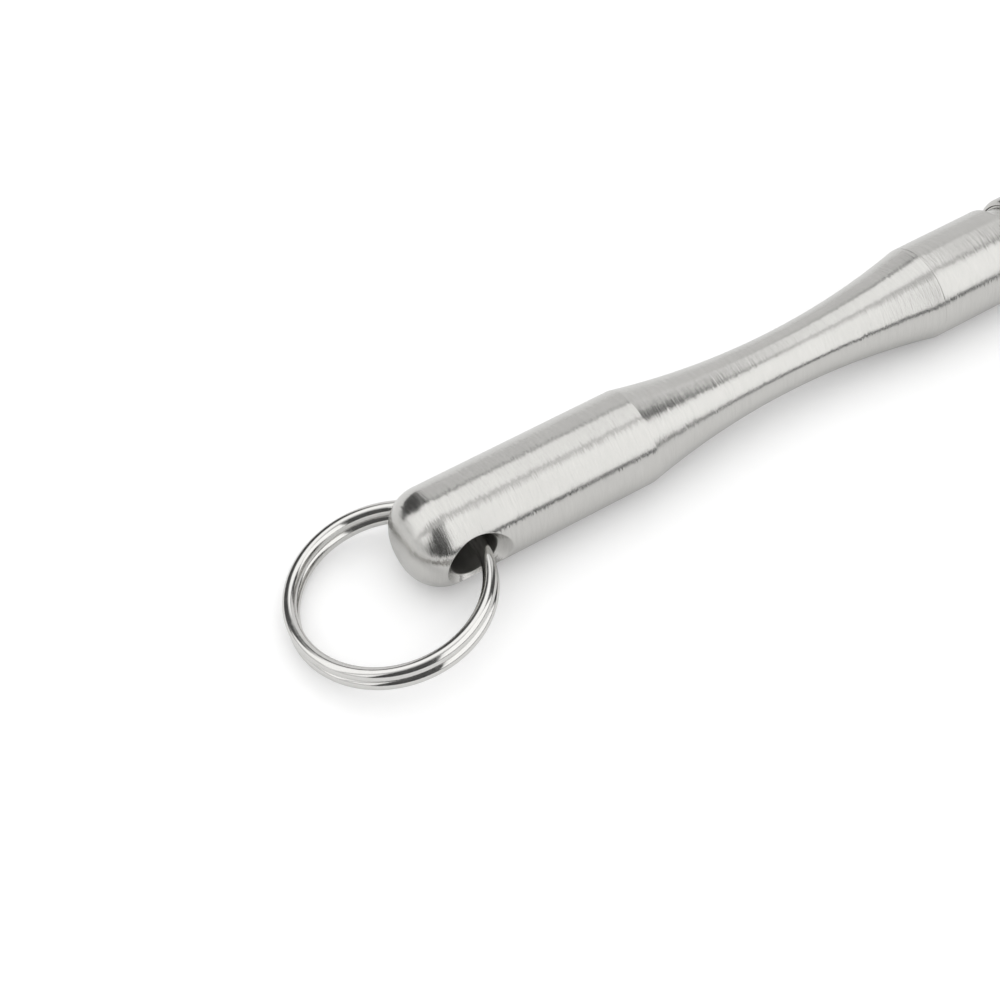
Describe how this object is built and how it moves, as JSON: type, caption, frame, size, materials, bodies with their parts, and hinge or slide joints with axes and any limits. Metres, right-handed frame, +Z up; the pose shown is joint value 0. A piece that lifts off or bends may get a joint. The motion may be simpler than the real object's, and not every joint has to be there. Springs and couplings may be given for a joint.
{
  "type": "keychain flashlight",
  "caption": "Slim turned steel stick light with a waisted grip, a twist head, and a split ring through a countersunk cross hole in its domed tail.",
  "frame": {"origin": "on the axis at the front face of the head shell, where the bezel seats", "axes": "+X along the axis from the tail to the light, +Z up as the light lies on a table, +Y across"},
  "size_m": [0.1581, 0.0286, 0.0142],
  "materials": {
    "turned_steel": "satin",
    "polished_steel": "polished",
    "nickel_steel": "satin",
    "spring_steel": "polished",
    "black_rubber": "matte",
    "brass": "satin",
    "cell_film": "gloss",
    "insulator_plastic": "matte",
    "lens_glass": "gloss",
    "reflector_mirror": "polished",
    "emitter_ceramic": "matte",
    "emitter_phosphor": "matte",
    "emitter_dome": "gloss",
    "metal_core_board": "satin",
    "lead_insulation": "gloss",
    "circuit_board": "satin",
    "chip_black": "matte",
    "coil_grey": "matte",
    "passive_tan": "satin"
  },
  "bodies": {
    "body": {"handle": "turned_steel", "battery_barrel": "turned_steel", "barrel_seal": "black_rubber", "neck_seal": "black_rubber", "spring_plate": "brass", "contact_spring": "spring_steel"},
    "cell": {"cell_can": "nickel_steel", "cell_gasket": "insulator_plastic", "cell_cap": "nickel_steel", "cell_wrap": "cell_film"},
    "head": {"head_shell": "turned_steel", "bezel_ring": "turned_steel", "lens_gasket": "black_rubber", "lens": "lens_glass", "reflector": "reflector_mirror", "led_spacer": "insulator_plastic", "led_package": "emitter_ceramic", "led_die": "emitter_phosphor", "led_dome": "emitter_dome", "led_board": "metal_core_board", "led_leads": "lead_insulation", "heat_sink_pill": "brass", "driver_board": "circuit_board", "driver_chip": "chip_black", "driver_coil": "coil_grey", "driver_passives": "passive_tan", "driver_retainer": "brass", "positive_contact": "brass", "contact_insulator": "insulator_plastic"},
    "key_ring": {"split_ring": "polished_steel"}
  },
  "joints": [
    {"name": "head_travel", "type": "slide", "parent": "body", "child": "cell", "axis": [-1, 0, 0], "range_m": [0, 0.001], "deforming": ["contact_spring"]},
    {"name": "head_twist", "type": "hinge", "parent": "cell", "child": "head", "pos_m": [0, 0, 0], "axis": [-1, 0, 0], "range_deg": [0, 360]},
    {"name": "ring_swing", "type": "hinge", "parent": "body", "child": "key_ring", "pos_m": [-0.1307, 0, 0], "axis": [0, 1, 0], "range_deg": [-120, 165]}
  ],
  "couplings": [
    {"joint": "head_twist", "follows": "head_travel", "rad_per_m": 6283.2}
  ]
}
